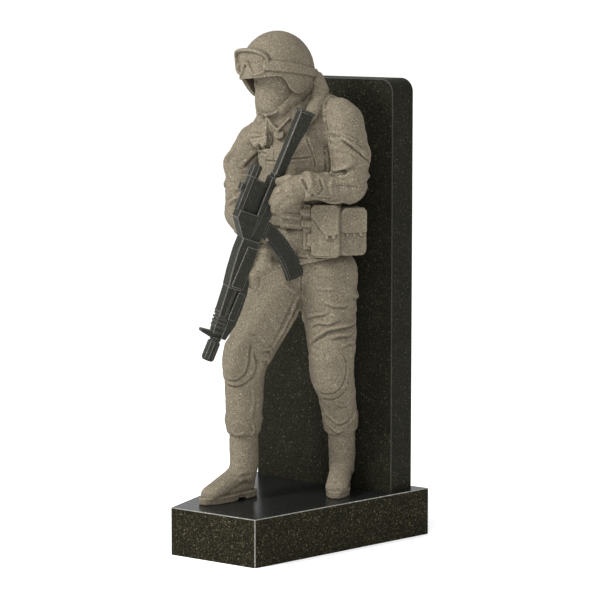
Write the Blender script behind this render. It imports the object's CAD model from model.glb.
"""War memorial pillar: a soldier carved in warm grey granite, a rifle in darker
stone, a tapered black plinth and a tall black slab behind.

Everything is in metres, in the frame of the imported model: Z up, front towards -Y.
Measures of the figure are in millimetres above the plinth.
"""
import logging
import math
from dataclasses import dataclass, field
from enum import Enum
from typing import Iterable, Sequence

import bmesh
import bpy
import numpy as np
from mathutils import Matrix, Vector


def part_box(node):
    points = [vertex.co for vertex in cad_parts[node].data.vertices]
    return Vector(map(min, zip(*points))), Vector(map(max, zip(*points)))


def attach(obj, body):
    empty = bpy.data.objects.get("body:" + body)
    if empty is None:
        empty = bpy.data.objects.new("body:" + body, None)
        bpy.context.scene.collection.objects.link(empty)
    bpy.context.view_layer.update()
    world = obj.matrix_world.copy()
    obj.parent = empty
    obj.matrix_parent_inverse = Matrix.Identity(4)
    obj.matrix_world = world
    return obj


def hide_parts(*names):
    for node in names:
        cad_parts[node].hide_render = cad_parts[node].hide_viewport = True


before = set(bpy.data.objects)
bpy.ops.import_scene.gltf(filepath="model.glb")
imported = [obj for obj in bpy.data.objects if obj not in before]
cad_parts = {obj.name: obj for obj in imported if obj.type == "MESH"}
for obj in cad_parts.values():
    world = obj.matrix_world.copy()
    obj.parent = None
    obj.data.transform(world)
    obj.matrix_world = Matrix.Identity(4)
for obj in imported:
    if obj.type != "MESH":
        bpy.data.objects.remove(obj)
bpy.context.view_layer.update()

logging.basicConfig(level=logging.INFO, format="%(message)s")
LOG = logging.getLogger("memorial")

MM = 0.001
Vec3 = Sequence[float]
Pair = tuple[float, float]
PLINTH_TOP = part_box("plinth")[1][2]


class Slot(Enum):
    """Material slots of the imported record."""

    BLACK = "black_granite"
    CARVED = "carved_granite"
    DARK = "dark_stone"


# ---------------------------------------------------------------------------- colour
def linear(hex_colour: str) -> tuple[float, float, float, float]:
    """Turn an sRGB hex colour into linear RGBA.

    Args:
        hex_colour: six hex digits, such as "8a8072".

    Returns:
        The linear colour with alpha 1.
    """
    shares = [int(hex_colour[i:i + 2], 16) / 255.0 for i in (0, 2, 4)]
    red, green, blue = (c / 12.92 if c <= 0.04045 else ((c + 0.055) / 1.055) ** 2.4
                        for c in shares)
    return (red, green, blue, 1.0)


def add_node(tree: bpy.types.NodeTree, kind: str, inputs: dict | None = None,
             stops: Sequence[tuple[float, float]] | None = None,
             **settings: object) -> bpy.types.Node:
    """Add a shader node, set it up and link it.

    Args:
        tree: the material's node tree.
        kind: the node's type name.
        inputs: socket name or number to a value, or to an output socket to link.
        stops: places and grey levels, for a node with a colour ramp.
        settings: plain attributes of the node.

    Returns:
        The new node.
    """
    node = tree.nodes.new(kind)
    for name, value in settings.items():
        setattr(node, name, value)
    for name, value in (inputs or {}).items():
        socket = node.inputs[name]
        if isinstance(value, bpy.types.NodeSocket):
            tree.links.new(value, socket)
        else:
            socket.default_value = value
    for i, (place, grey) in enumerate(stops or ()):
        bar = node.color_ramp.elements
        element = bar[i] if i < len(bar) else bar.new(place)
        element.position = place
        element.color = (grey, grey, grey, 1.0)
    return node


@dataclass(frozen=True)
class Granite:
    """A speckled stone.

    Attributes:
        name: the finish in a mason's words.
        base: colour of the ground mass.
        dark: colour of the dark grains.
        light: colour of the light grains.
        fleck: colour of the rare large flecks.
        grain: size of one grain in metres.
        rough: surface roughness, low for a polish.
        relief: height of the surface texture in metres.
        shine: specular level, low for a stone that throws back little.
        rare: share of the surface that flecks take.
        edges: how far ridges pale and creases darken, 0 for not at all.
    """

    name: str
    base: str
    dark: str
    light: str
    fleck: str
    grain: float
    rough: float
    relief: float
    shine: float = 0.3
    rare: float = 0.04
    edges: float = 0.0

    def material(self) -> bpy.types.Material:
        """Build the node material of this stone.

        Returns:
            The material.
        """
        mat = bpy.data.materials.new(self.name)
        mat.use_nodes = True
        tree = mat.node_tree
        tree.nodes.clear()
        where = add_node(tree, "ShaderNodeTexCoord").outputs["Object"]
        per_metre = 1.0 / self.grain
        # a colour mix takes its share at socket 0, its colours at 6 and 7 and gives output 2
        # each cell of a crystal pattern gets one shade, from dark to light
        cells = add_node(tree, "ShaderNodeTexVoronoi", {"Vector": where, "Scale": per_metre})
        shade = add_node(tree, "ShaderNodeSeparateColor", {0: cells.outputs["Color"]})
        darks = add_node(tree, "ShaderNodeValToRGB", {0: shade.outputs[0]},
                         stops=((0.0, 1.0), (0.30, 0.0)))
        lights = add_node(tree, "ShaderNodeValToRGB", {0: shade.outputs[1]},
                          stops=((0.70, 0.0), (1.0, 1.0)))
        step = add_node(tree, "ShaderNodeMix", {0: darks.outputs[0], 6: linear(self.base),
                                                7: linear(self.dark)}, data_type="RGBA")
        grains = add_node(tree, "ShaderNodeMix", {0: lights.outputs[0], 6: step.outputs[2],
                                                  7: linear(self.light)}, data_type="RGBA")
        # rare larger flecks with soft outlines
        big = add_node(tree, "ShaderNodeTexVoronoi", {"Vector": where, "Scale": per_metre * 0.5})
        pick = add_node(tree, "ShaderNodeSeparateColor", {0: big.outputs["Color"]})
        chosen = add_node(tree, "ShaderNodeValToRGB", {0: pick.outputs[2]},
                          stops=((1.0 - self.rare, 0.0), (1.0 - self.rare * 0.7, 1.0)))
        blob = add_node(tree, "ShaderNodeValToRGB", {0: big.outputs["Distance"]},
                        stops=((0.25, 1.0), (0.45, 0.0)))
        spot = add_node(tree, "ShaderNodeMath", {0: chosen.outputs[0], 1: blob.outputs[0]},
                        operation="MULTIPLY")
        flecked = add_node(tree, "ShaderNodeMix", {0: spot.outputs[0], 6: grains.outputs[2],
                                                   7: linear(self.fleck)}, data_type="RGBA")
        # slow drift of tone through the block
        drift = add_node(tree, "ShaderNodeTexNoise", {"Vector": where, "Scale": 7.0,
                                                      "Detail": 4.0, "Roughness": 0.65})
        tone = add_node(tree, "ShaderNodeValToRGB", {0: drift.outputs[0]},
                        stops=((0.3, 0.82), (0.7, 1.0)))
        colour = add_node(tree, "ShaderNodeMix", {0: 1.0, 6: flecked.outputs[2],
                                                  7: tone.outputs[0]},
                          data_type="RGBA", blend_type="MULTIPLY")
        if self.edges:
            # dust and wash: ridges are rubbed pale, creases hold dirt
            point = add_node(tree, "ShaderNodeNewGeometry").outputs["Pointiness"]
            worn = add_node(tree, "ShaderNodeValToRGB", {0: point},
                            stops=((0.455, 1.0 - self.edges), (0.50, 0.82), (0.535, 1.0)))
            colour = add_node(tree, "ShaderNodeMix", {0: 1.0, 6: colour.outputs[2],
                                                      7: worn.outputs[0]},
                              data_type="RGBA", blend_type="MULTIPLY")
        fine = add_node(tree, "ShaderNodeTexNoise", {"Vector": where, "Scale": per_metre * 0.6,
                                                     "Detail": 3.0, "Roughness": 0.7})
        bump = add_node(tree, "ShaderNodeBump", {"Height": fine.outputs[0], "Strength": 0.7,
                                                 "Distance": self.relief})
        shader = add_node(tree, "ShaderNodeBsdfPrincipled",
                          {"Base Color": colour.outputs[2], "Roughness": self.rough,
                           "Normal": bump.outputs[0], "Specular IOR Level": self.shine})
        add_node(tree, "ShaderNodeOutputMaterial", {0: shader.outputs[0]})
        return mat


# warm grey-brown granite, pointed and rubbed by hand, so it is dull and finely grained
CARVED = Granite("rubbed warm grey granite", base="696152", dark="4b4438", light="837b6d",
                 fleck="9c9486", grain=2.8 * MM, rough=0.9, relief=0.8 * MM, shine=0.10,
                 rare=0.035, edges=0.55)
# gabbro-like black stone with brown and grey flecks, sawn and rubbed, not quite polished
BLACK = Granite("rubbed black granite", base="191913", dark="0d0d09", light="2c2a20",
                fleck="4b473a", grain=3.2 * MM, rough=0.6, relief=0.10 * MM, shine=0.03,
                rare=0.07)
# the plinth's sides are the same stone sawn across its bed, so more of the flecks show
SPECKLED = Granite("sawn speckled granite", base="17160f", dark="0a0a06", light="3a3626",
                   fleck="585140", grain=3.2 * MM, rough=0.7, relief=0.15 * MM, shine=0.03,
                   rare=0.12)
# the tread surface between the boots is polished, so it mirrors the boots a little
POLISHED = Granite("polished black granite", base="161717", dark="0f0f0f", light="20201f",
                   fleck="37362f", grain=3.4 * MM, rough=0.25, relief=0.03 * MM, shine=0.08,
                   rare=0.05)
# sawn arrises catch the light: a fine chipped band, paler than the faces
ARRIS = Granite("worn granite arris", base="6a6963", dark="54534e", light="93928b",
                fleck="a6a59e", grain=3.0 * MM, rough=0.6, relief=0.2 * MM)
# the slab's own arris is rubbed less and stays darker
DULL_ARRIS = Granite("rubbed granite arris", base="211f19", dark="171611", light="333128",
                     fleck="47443a", grain=3.0 * MM, rough=0.6, relief=0.2 * MM)
# the rifle is a fine dark stone, honed
DARK = Granite("honed dark basalt", base="1e1e19", dark="13130f", light="2f2e28",
               fleck="45433b", grain=2.8 * MM, rough=0.6, relief=0.4 * MM, shine=0.12)
# its edges are rubbed pale by handling
WORN = Granite("rubbed basalt edge", base="403f39", dark="2b2a25", light="5b5a52",
               fleck="77766d", grain=3.0 * MM, rough=0.6, relief=0.3 * MM)


# ------------------------------------------------------------------------- mesh tools
def finish_mesh(name: str, mesh: bpy.types.Mesh, materials: Iterable[bpy.types.Material],
                smooth: bool = True) -> bpy.types.Object:
    """Put a mesh into the scene as a piece.

    Args:
        name: the piece's name.
        mesh: its mesh, already in place.
        materials: materials for its slots.
        smooth: whether faces are shaded smooth.

    Returns:
        The new object.
    """
    mesh.name = name
    for mat in materials:
        mesh.materials.append(mat)
    mesh.polygons.foreach_set("use_smooth", [smooth] * len(mesh.polygons))
    mesh.update()
    obj = bpy.data.objects.new(name, mesh)
    bpy.context.scene.collection.objects.link(obj)
    return obj


def hand_in(obj: bpy.types.Object, node: str, slot: Slot) -> None:
    """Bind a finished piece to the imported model.

    Args:
        obj: the piece.
        node: the CAD node that it stands in for.
        slot: its material slot.
    """
    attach(obj, "root")
    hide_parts(node)
    obj.data.calc_loop_triangles()
    LOG.info("%s: %d triangles", obj.name, len(obj.data.loop_triangles))


def facing(look: Vec3, up: Vec3 = (0, 0, 1)) -> Matrix:
    """Axes of a panel: its right, its height and where it looks.

    Args:
        look: where it looks.
        up: roughly its height.

    Returns:
        A 3x3 matrix with those columns.
    """
    out = Vector(look).normalized()
    right = Vector(up).cross(out).normalized()
    return Matrix((right, out.cross(right), out)).transposed()


class Clay:
    """Lumps that are pressed together into one closed skin."""

    # flats of a lump round its axis and from pole to pole
    AROUND, DOWN = 28, 18

    def __init__(self) -> None:
        """Start with an empty board."""
        self.bm = bmesh.new()

    def pod(self, start: Vec3, end: Vec3, r0: Vec3, r1: Vec3 | None = None,
            side: Vec3 = (1, 0, 0)) -> None:
        """Add a tapered, rounded lump.

        Args:
            start: first centre.
            end: second centre.
            r0: radii (across, deep, along) at the first centre.
            r1: radii at the second centre.
            side: direction of the first radius.
        """
        p0, p1 = Vector(start), Vector(end)
        # a lump with both centres in one place stands upright
        axis = (p1 - p0) if (p1 - p0).length > 1e-4 else Vector((0, 0, 1))
        axis.normalize()
        deep = axis.cross(Vector(side)).normalized()
        turn = Matrix((deep.cross(axis), deep, axis)).transposed().to_4x4()
        verts = []
        for centre, radii in ((p0, r0), (p1, r1 or r0)):
            place = Matrix.Translation(centre) @ turn @ Matrix.Diagonal((*radii, 1.0))
            verts += bmesh.ops.create_uvsphere(self.bm, u_segments=self.AROUND,
                                               v_segments=self.DOWN, radius=1.0,
                                               matrix=place)["verts"]
        hull = bmesh.ops.convex_hull(self.bm, input=verts)
        spare = {g for g in hull["geom_interior"] + hull["geom_unused"]
                 if isinstance(g, bmesh.types.BMVert)}
        bmesh.ops.delete(self.bm, geom=list(spare), context="VERTS")

    def chain(self, points: Sequence[Vec3], radii: Sequence[Vec3 | float],
              side: Vec3 = (1, 0, 0)) -> None:
        """Add a row of pods through several points.

        Args:
            points: the centres.
            radii: radii at each centre, or one number for a round section.
            side: direction of the first radius.
        """
        full = [(r, r, r) if isinstance(r, (int, float)) else r for r in radii]
        for i in range(len(points) - 1):
            self.pod(points[i], points[i + 1], full[i], full[i + 1], side)

    def prism(self, outline: Sequence[Pair], centre: Vec3, look: Vec3, back: float,
              front: float, rounding: float = 2.5, up: Vec3 = (0, 0, 1)) -> None:
        """Add a plate with rounded edges.

        Args:
            outline: its outline as (right, height) from the centre.
            centre: where the outline's origin lies.
            look: where its front looks.
            back: how far it reaches behind the centre.
            front: how far it reaches in front of the centre.
            rounding: radius of its edges.
            up: roughly its height.
        """
        axes = facing(look, up)
        verts = [self.bm.verts.new(Vector(centre) + axes @ Vector((x, y, -back)))
                 for x, y in outline]
        face = self.bm.faces.new(verts)
        made = bmesh.ops.extrude_face_region(self.bm, geom=[face])
        moved = [g for g in made["geom"] if isinstance(g, bmesh.types.BMVert)]
        bmesh.ops.translate(self.bm, verts=moved, vec=axes @ Vector((0, 0, back + front)))
        faces = list({f for v in verts + moved for f in v.link_faces})
        bmesh.ops.recalc_face_normals(self.bm, faces=faces)
        edges = list({e for v in verts + moved for e in v.link_edges})
        bmesh.ops.bevel(self.bm, geom=edges, offset=rounding, offset_type="OFFSET", segments=3,
                        profile=0.5, affect="EDGES", material=-1, clamp_overlap=True)

    def box(self, half: Pair, centre: Vec3, look: Vec3, back: float, front: float,
            rounding: float = 2.5) -> None:
        """Add a rectangular plate.

        Args:
            half: its half sizes (right, height).
            centre: its middle.
            look: where its front looks.
            back: how far it reaches behind the centre.
            front: how far it reaches in front of the centre.
            rounding: radius of its edges.
        """
        x, y = half
        self.prism([(-x, -y), (x, -y), (x, y), (-x, y)], centre, look, back, front, rounding)

    def loft(self, rings: Sequence[Sequence[Vec3]]) -> None:
        """Add a closed body from rings of points.

        Args:
            rings: rings with the same number of points, from one end to the other.
        """
        rows = [[self.bm.verts.new(p) for p in ring] for ring in rings]
        faces = [self.bm.faces.new((a[i - 1], a[i], b[i], b[i - 1]))
                 for a, b in zip(rows, rows[1:]) for i in range(len(a))]
        faces += [self.bm.faces.new(rows[0]), self.bm.faces.new(rows[-1])]
        bmesh.ops.recalc_face_normals(self.bm, faces=faces)

    def skin(self, voxel: float, smooth: int,
             extra: bpy.types.Mesh | None = None) -> bpy.types.Mesh:
        """Press the lumps together.

        Args:
            voxel: size of the skin's cells in millimetres.
            smooth: rounds of smoothing after pressing.
            extra: another mesh, in metres and in place, to press in as well.

        Returns:
            A closed mesh in metres, in place.
        """
        mesh = bpy.data.meshes.new("clay")
        self.bm.transform(Matrix.Translation((0, 0, PLINTH_TOP)) @ Matrix.Scale(MM, 4))
        if extra is not None:
            self.bm.from_mesh(extra)
        self.bm.normal_update()
        self.bm.to_mesh(mesh)
        self.bm.free()
        obj = bpy.data.objects.new("clay", mesh)
        bpy.context.scene.collection.objects.link(obj)
        remesh = obj.modifiers.new("press", "REMESH")
        remesh.mode = "VOXEL"
        remesh.voxel_size = voxel * MM
        relax = obj.modifiers.new("relax", "SMOOTH")
        relax.factor = 0.5
        relax.iterations = smooth
        graph = bpy.context.evaluated_depsgraph_get()
        out = bpy.data.meshes.new_from_object(obj.evaluated_get(graph))
        bpy.data.objects.remove(obj)
        bpy.data.meshes.remove(mesh)
        return out


# -------------------------------------------------------------------------- sculpting
# large odd numbers that scramble a cell's place and the seed into one value
SCRAMBLE = (73856093, 19349663, 83492791, 2654435, 1274126177)
# further than any point of the figure, in millimetres
FAR = 1e9


def noise3(p: np.ndarray, seed: int = 0) -> np.ndarray:
    """Smooth value noise in three dimensions.

    Args:
        p: points, one row each; one unit is one cell.
        seed: picks another pattern.

    Returns:
        A value from -1 to 1 for each point.
    """
    base = np.floor(p).astype(np.int64)
    f = p - base
    f = f * f * f * (f * (f * 6 - 15) + 10)
    total = np.zeros(len(p))
    for corner in range(8):
        off = np.array([corner & 1, corner >> 1 & 1, corner >> 2 & 1])
        x, y, z = (base + off).T
        h = (x * SCRAMBLE[0]) ^ (y * SCRAMBLE[1]) ^ (z * SCRAMBLE[2]) ^ (seed * SCRAMBLE[3])
        h = (h ^ (h >> 13)) * SCRAMBLE[4] & 0x7FFFFFFF
        h = (h ^ (h >> 16)) & 0xFFFF
        w = np.prod(np.where(off, f, 1 - f), axis=1)
        total += w * (h / 32767.5 - 1.0)
    return total


def ease(x: np.ndarray) -> np.ndarray:
    """Smooth step from nought below 0 to one above 1.

    Args:
        x: any values.

    Returns:
        The eased values.
    """
    x = np.clip(x, 0.0, 1.0)
    return x * x * (3 - 2 * x)


@dataclass(frozen=True)
class Fold:
    """One fold of cloth.

    Attributes:
        path: places (share along the limb, degrees round it) that the crest runs through.
        height: millimetres that it stands out; negative for a crease.
        width: millimetres from its crest to its foot.
        crease: depth of the crease on its lower side, as a share of its height.
    """

    path: Sequence[Pair]
    height: float = 6.0
    width: float = 10.0
    crease: float = 0.55


@dataclass(frozen=True)
class Limb:
    """A straight stretch of sleeve, trouser or trunk that folds are laid on.

    Attributes:
        start: start of its middle line.
        end: end of its middle line.
        zero: direction of angle nought.
        radius: furthest skin that belongs to it.
        girth: typical radius, which turns degrees into millimetres.
    """

    start: Vec3
    end: Vec3
    zero: Vec3 = (0.58, -0.81, 0.0)
    radius: float = 130.0
    girth: float = 75.0

    @property
    def length(self) -> float:
        """Length in millimetres."""
        return float(np.linalg.norm(np.array(self.end, float) - np.array(self.start, float)))

    def polar(self, p: np.ndarray) -> tuple[np.ndarray, np.ndarray, np.ndarray]:
        """Place of points on the limb.

        Args:
            p: the points.

        Returns:
            The share along, the angle in degrees and the distance from the middle line.
        """
        a = np.array(self.start, float)
        d = (np.array(self.end, float) - a) / self.length
        z = np.array(self.zero, float)
        z -= d * z.dot(d)
        z /= np.linalg.norm(z)
        q = p - a
        u, v = q @ z, q @ np.cross(d, z)
        return q @ d / self.length, np.degrees(np.arctan2(v, u)), np.hypot(u, v)

    def near(self, t: np.ndarray, radius: np.ndarray, spill: float) -> np.ndarray:
        """How far points belong to the limb.

        Args:
            t: their shares along it.
            radius: their distances from its middle line.
            spill: share of its length that it reaches past both ends.

        Returns:
            One on the limb, easing to nought just outside it.
        """
        rim, fade = 12.0, 0.1
        ends = ease((t + spill) / fade) * ease((1 + spill - t) / fade)
        return ease((self.radius - radius) / rim) * ends


class Carver:
    """Chisels folds, seams, panels and wrinkles into a mesh."""

    # furthest the skin may lie above or below a seam's line and a panel's middle
    SEAM_REACH, PANEL_REACH = 60.0, 70.0
    # pattern of the chisel's unevenness
    GRIT = 3

    def __init__(self, mesh: bpy.types.Mesh) -> None:
        """Read the mesh's points.

        Args:
            mesh: a closed mesh in metres, in place.
        """
        self.mesh = mesh
        self.co = np.empty(len(mesh.vertices) * 3)
        mesh.vertices.foreach_get("co", self.co)
        self.co = self.co.reshape(-1, 3)
        self.look_again()

    def look_again(self) -> None:
        """Take the mesh's present normals and places."""
        self.normal = np.empty(self.co.size)
        self.mesh.vertices.foreach_get("normal", self.normal)
        self.normal = self.normal.reshape(-1, 3)
        self.mm = self.co / MM - np.array([0, 0, PLINTH_TOP / MM])

    def push(self, amount: np.ndarray) -> None:
        """Move points along their normals.

        Args:
            amount: millimetres outwards for each point.
        """
        self.co = self.co + self.normal * (amount * MM)[:, None]
        self.mesh.vertices.foreach_set("co", self.co.ravel())
        self.mesh.update()
        self.look_again()

    def folds(self, limb: Limb, folds: Sequence[Fold]) -> None:
        """Lay folds on a limb.

        Args:
            limb: the limb.
            folds: its folds.
        """
        t, angle, radius = limb.polar(self.mm)
        near = limb.near(t, radius, 0.25)
        per_degree = math.radians(1.0) * limb.girth
        total = np.zeros(len(t))
        for fold in folds:
            # roll the limb out flat, with the fold in the middle of the sheet
            line = np.array(fold.path, float)
            middle = line[:, 1].mean()
            turned = (angle - middle + 180) % 360 - 180 + middle
            place = np.stack([turned * per_degree, t * limb.length], 1)
            line = np.stack([line[:, 1] * per_degree, line[:, 0] * limb.length], 1)
            run = np.concatenate([[0], np.cumsum(np.linalg.norm(np.diff(line, axis=0), axis=1))])
            best, signed, along = np.full(len(t), FAR), np.zeros(len(t)), np.zeros(len(t))
            for i, (a, b) in enumerate(zip(line, line[1:])):
                d = b - a
                span = np.linalg.norm(d)
                q = place - a
                h = np.clip(q @ d / span ** 2, 0, 1)
                off = q - h[:, None] * d
                far = np.hypot(off[:, 0], off[:, 1])
                closer = far < best
                best = np.where(closer, far, best)
                cross = (d[0] * q[:, 1] - d[1] * q[:, 0]) / span
                signed = np.where(closer, np.sign(cross) * far * np.sign(d[0] or 1), signed)
                along = np.where(closer, run[i] + h * span, along)
            # a crest with a crease on its lower side, both dying out at the path's ends
            taper = np.sin(np.pi * np.clip(along / run[-1], 0.02, 0.98)) ** 0.7
            d = signed / fold.width
            shape = np.exp(-d * d) - fold.crease * np.exp(-((d - 1.35) / 0.6) ** 2)
            total += fold.height * shape * taper
        self.push(total * near)

    def wrinkles(self, limb: Limb, height: float, along: float, around: float,
                 shear: float = 0.0, seed: int = 0) -> None:
        """Scatter soft irregular wrinkles over a limb.

        Args:
            limb: the limb.
            height: millimetres from crease to crest.
            along: spacing along the limb in millimetres.
            around: length round the limb in millimetres.
            shear: slant, as along per around.
            seed: picks another pattern.
        """
        t, angle, radius = limb.polar(self.mm)
        near = limb.near(t, radius, 0.12)
        rad = np.radians(angle)
        x, y = np.cos(rad) * limb.girth / around, np.sin(rad) * limb.girth / around
        z = (t * limb.length + shear * angle) / along
        # a broad pattern and one of half its size; both are folded over into sharp creases
        n = noise3(np.stack([x, y, z], 1), seed) * 0.7
        n += noise3(np.stack([x * 2.1 + 7, y * 2.1, z * 1.9], 1), seed + 1) * 0.35
        self.push((np.abs(n) * 2.0 - 0.45) * height * near)

    def seam(self, points: Sequence[Vec3], depth: float = 3.0, width: float = 3.0,
             lip: float = 0.0) -> None:
        """Cut a groove along a line laid on the skin.

        Args:
            points: the line, near the skin.
            depth: depth of the groove; negative raises a welt.
            width: half width of the groove.
            lip: height of a raised lip beside it.
        """
        best = np.full(len(self.mm), FAR)
        for a, b in zip(points, points[1:]):
            a, b = np.array(a, float), np.array(b, float)
            d = b - a
            h = np.clip(((self.mm - a) @ d) / (d @ d), 0, 1)
            q = self.mm - a - h[:, None] * d
            along = np.einsum("ij,ij->i", q, self.normal)
            flat = np.sqrt(np.maximum(np.einsum("ij,ij->i", q, q) - along ** 2, 0))
            flat[np.abs(along) > self.SEAM_REACH] = FAR
            best = np.minimum(best, flat)
        groove = -depth * np.exp(-(best / width) ** 2)
        groove += lip * np.exp(-((best - width * 2.2) / width) ** 2)
        self.push(np.where(best < width * 5, groove, 0.0))

    def panel(self, centre: Vec3, look: Vec3, half: Pair, height: float, power: float = 2.0,
              edge: float = 4.0, fade: float = 9.0, groove: float = 0.0) -> None:
        """Raise or sink a patch with a crisp outline.

        Args:
            centre: its middle, near the skin.
            look: where it looks.
            half: half sizes (right, height).
            height: millimetres it stands out; negative sinks it.
            power: 2 for an ellipse, larger for a rounder-cornered rectangle.
            edge: width of its edge in millimetres.
            fade: share of the half height above which it dies out.
            groove: depth of a groove just outside its edge.
        """
        axes = np.array(facing(look))
        q = self.mm - np.array(centre, float)
        x, y, z = (q @ axes[:, 0]) / half[0], (q @ axes[:, 1]) / half[1], q @ axes[:, 2]
        r = (np.abs(x) ** power + np.abs(y) ** power) ** (1.0 / power)
        gap = (1.0 - r) * min(half) / edge
        shape = ease(gap + 0.5) * height - groove * np.exp(-(gap + 1.1) ** 2)
        # only skin that looks the panel's way is raised, not the far side of the limb
        shape *= ease((self.normal @ axes[:, 2]) / 0.2) * (np.abs(z) < self.PANEL_REACH)
        self.push(shape * ease((fade - y) / 0.5))

    def roughen(self, height: float, size: float) -> None:
        """Add the small unevenness of hand carving.

        Args:
            height: millimetres that it stands out or sinks.
            size: millimetres from one bump to the next.
        """
        self.push(noise3(self.mm / size, self.GRIT) * height)


# ------------------------------------------------------------------------ base stones
@dataclass
class BaseStones:
    """The tapered plinth and the slab with round upper corners.

    Attributes:
        length: depth of the plinth in metres.
        front: its width in front.
        back: its width behind.
        slab: width, thickness and height of the slab.
        inset: gap between the slab and the plinth's back edge.
        corner: radius of the slab's upper corners.
        corner_points: points that draw one of them.
        arris: width of the worn band along the edges.
    """

    length: float = 0.870
    front: float = 0.390
    back: float = 0.760
    slab: Vec3 = (0.635, 0.140, 1.575)
    inset: float = 0.027
    corner: float = 0.052
    corner_points: int = 13
    arris: float = 4.2 * MM

    def block(self, name: str, outline: Sequence[Vec3], lift: Vec3,
              materials: Sequence[bpy.types.Material]) -> bpy.types.Object:
        """Extrude an outline and wear its arrises, all but those it stands on.

        Args:
            name: the piece's name.
            outline: corners of one face.
            lift: how far that face is extruded.
            materials: those of its sides, its top and its arrises.

        Returns:
            The piece.
        """
        bm = bmesh.new()
        verts = [bm.verts.new(p) for p in outline]
        made = bmesh.ops.extrude_face_region(bm, geom=[bm.faces.new(verts)])
        moved = [g for g in made["geom"] if isinstance(g, bmesh.types.BMVert)]
        bmesh.ops.translate(bm, verts=moved, vec=lift)
        bmesh.ops.recalc_face_normals(bm, faces=bm.faces)
        side, top, arris = range(3)
        sharp = [e for e in bm.edges if e.calc_face_angle(0.0) > math.radians(25)
                 and all(f.normal.z > -0.9 for f in e.link_faces)]
        bmesh.ops.bevel(bm, geom=sharp, offset=self.arris, offset_type="WIDTH", segments=2,
                        profile=0.5, affect="EDGES", material=arris)
        for face in bm.faces:
            if face.normal.z > 0.99 and face.material_index == side:
                face.material_index = top
        mesh = bpy.data.meshes.new(name)
        bm.to_mesh(mesh)
        bm.free()
        return finish_mesh(name, mesh, materials, smooth=False)

    def build(self) -> None:
        """Cut both stones."""
        y = self.length / 2
        black, polished = BLACK.material(), POLISHED.material()
        plinth = self.block("plinth_stone",
                            [(-self.front / 2, -y, 0), (self.front / 2, -y, 0),
                             (self.back / 2, y, 0), (-self.back / 2, y, 0)],
                            (0, 0, PLINTH_TOP),
                            (SPECKLED.material(), polished, ARRIS.material()))
        hand_in(plinth, "plinth", Slot.BLACK)
        wide, thick, tall = self.slab
        face = y - self.inset - thick
        top, r = PLINTH_TOP + tall, self.corner
        arc = [(wide / 2 - r + r * math.cos(a), top - r + r * math.sin(a))
               for a in np.linspace(0, math.pi / 2, self.corner_points)]
        outline = [(wide / 2, PLINTH_TOP)] + arc
        outline += [(-x, z) for x, z in reversed(outline)]
        stele = self.block("slab_stone", [(x, face, z) for x, z in outline], (0, thick, 0),
                           (black, black, DULL_ARRIS.material()))
        hand_in(stele, "stele", Slot.BLACK)


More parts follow.
